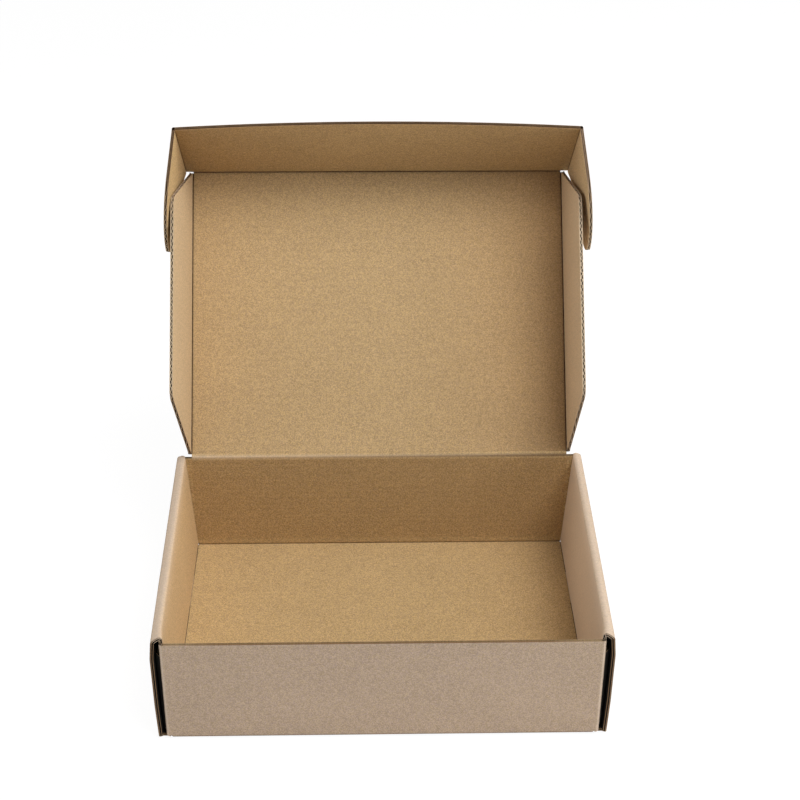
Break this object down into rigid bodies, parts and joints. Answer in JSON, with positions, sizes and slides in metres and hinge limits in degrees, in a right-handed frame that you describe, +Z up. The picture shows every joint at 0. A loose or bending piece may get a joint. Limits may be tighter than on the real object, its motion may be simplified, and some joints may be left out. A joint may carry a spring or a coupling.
{
  "type": "corrugated mailer box",
  "caption": "Kraft corrugated mailer box standing open: a tray with rolled double side walls and a lid with side wings and a tuck flap with ears.",
  "frame": {"origin": "middle of the tray's underside", "axes": "+X to the right along the front, +Y from the front to the hinge at the back, +Z up"},
  "size_m": [0.2108, 0.2383, 0.2154],
  "materials": {
    "kraft_board": "matt"
  },
  "bodies": {
    "tray": {"tray": "kraft_board"},
    "lid": {"lid_panel": "kraft_board"},
    "left_wing": {"lid_wing_left": "kraft_board"},
    "right_wing": {"lid_wing_right": "kraft_board"},
    "front_flap": {"lid_front_flap": "kraft_board"},
    "left_ear": {"lid_ear_left": "kraft_board"},
    "right_ear": {"lid_ear_right": "kraft_board"}
  },
  "joints": [
    {"name": "lid_hinge", "type": "hinge", "parent": "tray", "child": "lid", "pos_m": [0, 0.0722, 0.0564], "axis": [-1, 0, 0], "range_deg": [-62, 70]},
    {"name": "left_wing_crease", "type": "hinge", "parent": "lid", "child": "left_wing", "pos_m": [-0.0958, 0.11744, 0.11497], "axis": [0, 0.6198, 0.7848], "range_deg": [-0.4, 84]},
    {"name": "right_wing_crease", "type": "hinge", "parent": "lid", "child": "right_wing", "pos_m": [0.0958, 0.11744, 0.11497], "axis": [0, -0.6198, -0.7848], "range_deg": [-2, 82]},
    {"name": "front_flap_crease", "type": "hinge", "parent": "lid", "child": "front_flap", "pos_m": [0, 0.16448, 0.17325], "axis": [1, 0, 0], "range_deg": [-82, 4]},
    {"name": "left_ear_crease", "type": "hinge", "parent": "front_flap", "child": "left_ear", "pos_m": [-0.0999, 0.1458, 0.19274], "axis": [0, -0.6921, 0.7218], "range_deg": [-84, 0.4]},
    {"name": "right_ear_crease", "type": "hinge", "parent": "front_flap", "child": "right_ear", "pos_m": [0.0999, 0.1458, 0.19274], "axis": [0, 0.6921, -0.7218], "range_deg": [-84, 2.5]}
  ]
}
